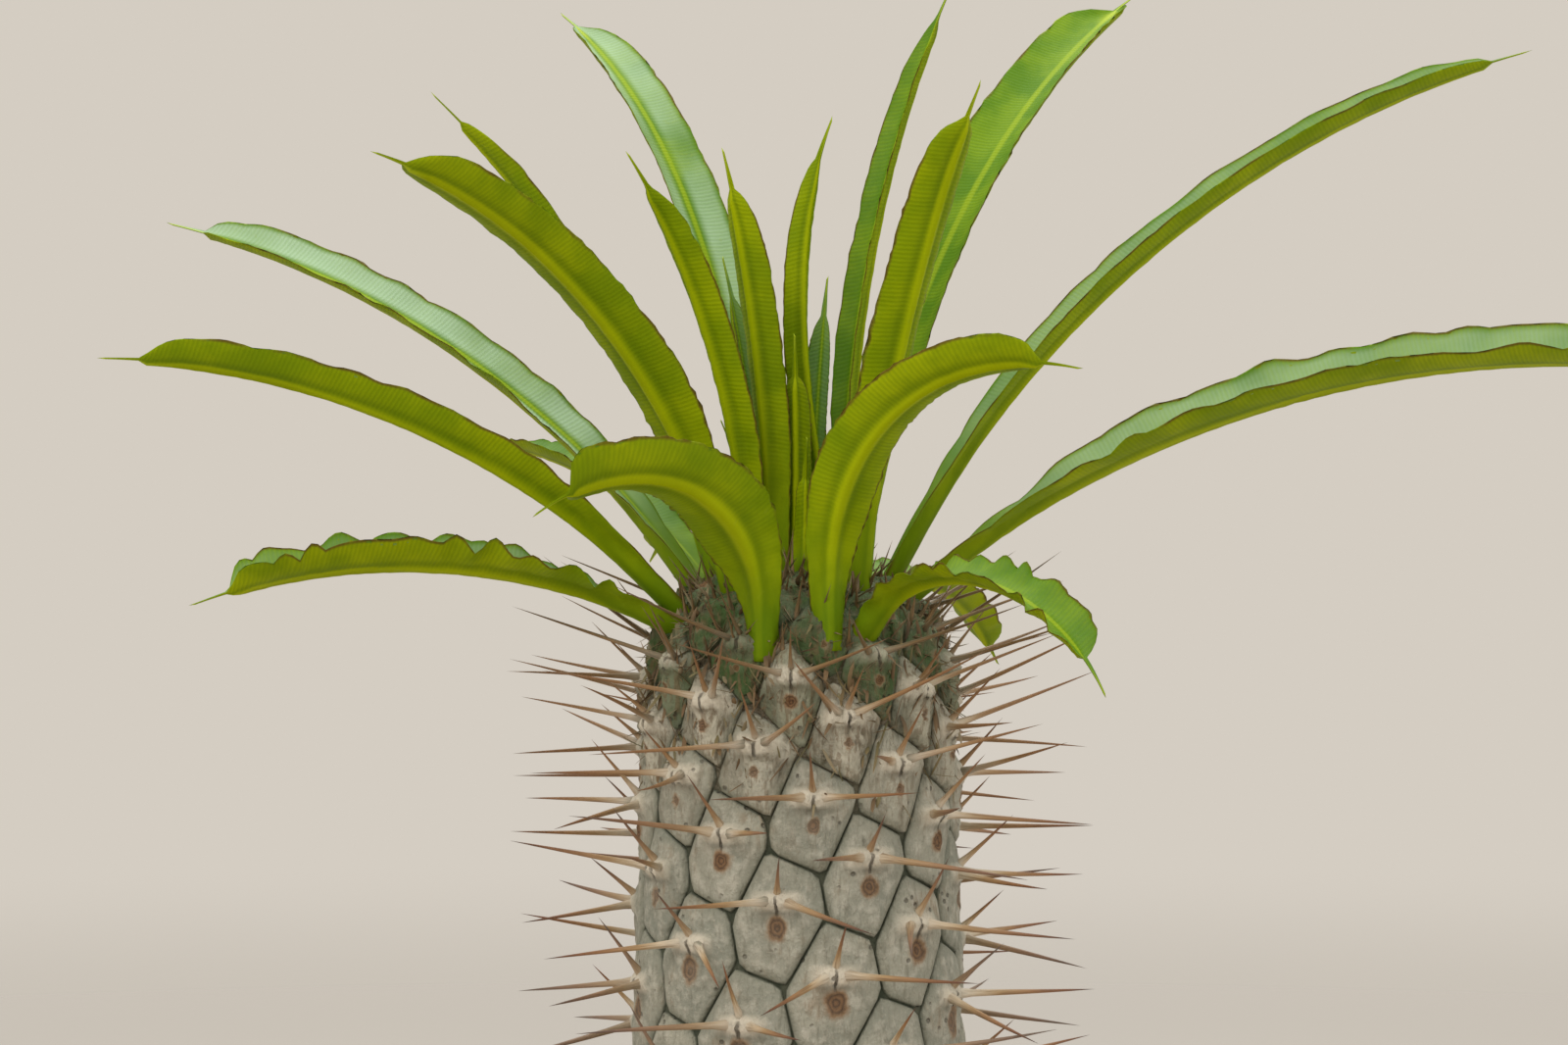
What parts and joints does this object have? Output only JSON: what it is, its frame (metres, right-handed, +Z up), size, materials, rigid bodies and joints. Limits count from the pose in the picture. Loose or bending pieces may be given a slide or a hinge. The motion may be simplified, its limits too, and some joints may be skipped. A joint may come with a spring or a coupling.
{
  "type": "madagascar palm in a pot",
  "caption": "Potted succulent with a thick spiny stem of raised plates and a crown of long narrow leaves, in a plain tapered clay pot with soil.",
  "frame": {"origin": "centre of the pot's flat foot, where it rests", "axes": "+Z up along the stem, -Y towards the viewer of the picture, +X to their right"},
  "size_m": [0.4298, 0.2797, 0.5381],
  "materials": {
    "bark": "silvery grey-green bark plates with dark grooves, and cream to reddish-brown spines",
    "leaf": "satin green leaf with a waxy sheen above and a paler yellow-green keel",
    "soil": "matte dark gritty potting soil",
    "clay": "matte unglazed terracotta"
  },
  "bodies": {
    "root": {"stem": "bark", "leaf_01": "leaf", "leaf_02": "leaf", "leaf_03": "leaf", "leaf_04": "leaf", "leaf_05": "leaf", "leaf_06": "leaf", "leaf_07": "leaf", "leaf_08": "leaf", "leaf_09": "leaf", "leaf_10": "leaf", "leaf_11": "leaf", "leaf_12": "leaf", "leaf_13": "leaf", "leaf_14": "leaf", "leaf_15": "leaf", "leaf_16": "leaf", "leaf_17": "leaf", "leaf_18": "leaf", "leaf_19": "leaf", "leaf_20": "leaf", "leaf_21": "leaf", "leaf_22": "leaf", "leaf_23": "leaf", "leaf_24": "leaf", "soil": "soil", "pot": "clay"}
  },
  "joints": []
}
